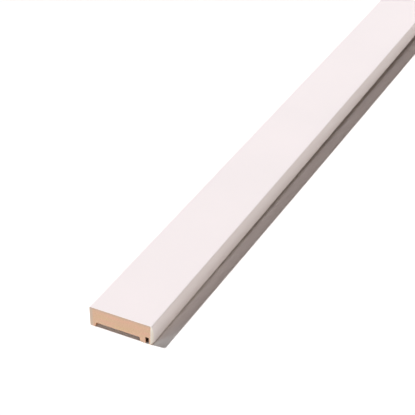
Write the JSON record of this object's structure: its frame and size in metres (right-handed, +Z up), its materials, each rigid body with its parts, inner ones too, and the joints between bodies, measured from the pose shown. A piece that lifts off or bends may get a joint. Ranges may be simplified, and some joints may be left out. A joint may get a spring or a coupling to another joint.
{
  "type": "architrave moulding",
  "caption": "Length of square-edged, white-coated fibreboard architrave, with a wide shallow relief and a narrow groove along its back.",
  "frame": {"origin": "under the middle of the strip, on the plane of its back", "axes": "+Z up through the face, +Y along the length away from the sawn end in the picture, +X across the face towards the long edge with the groove"},
  "size_m": [0.056, 2.1, 0.018],
  "materials": {
    "coated_fibreboard": "satin"
  },
  "bodies": {
    "root": {"architrave_moulding": "coated_fibreboard"}
  },
  "joints": []
}
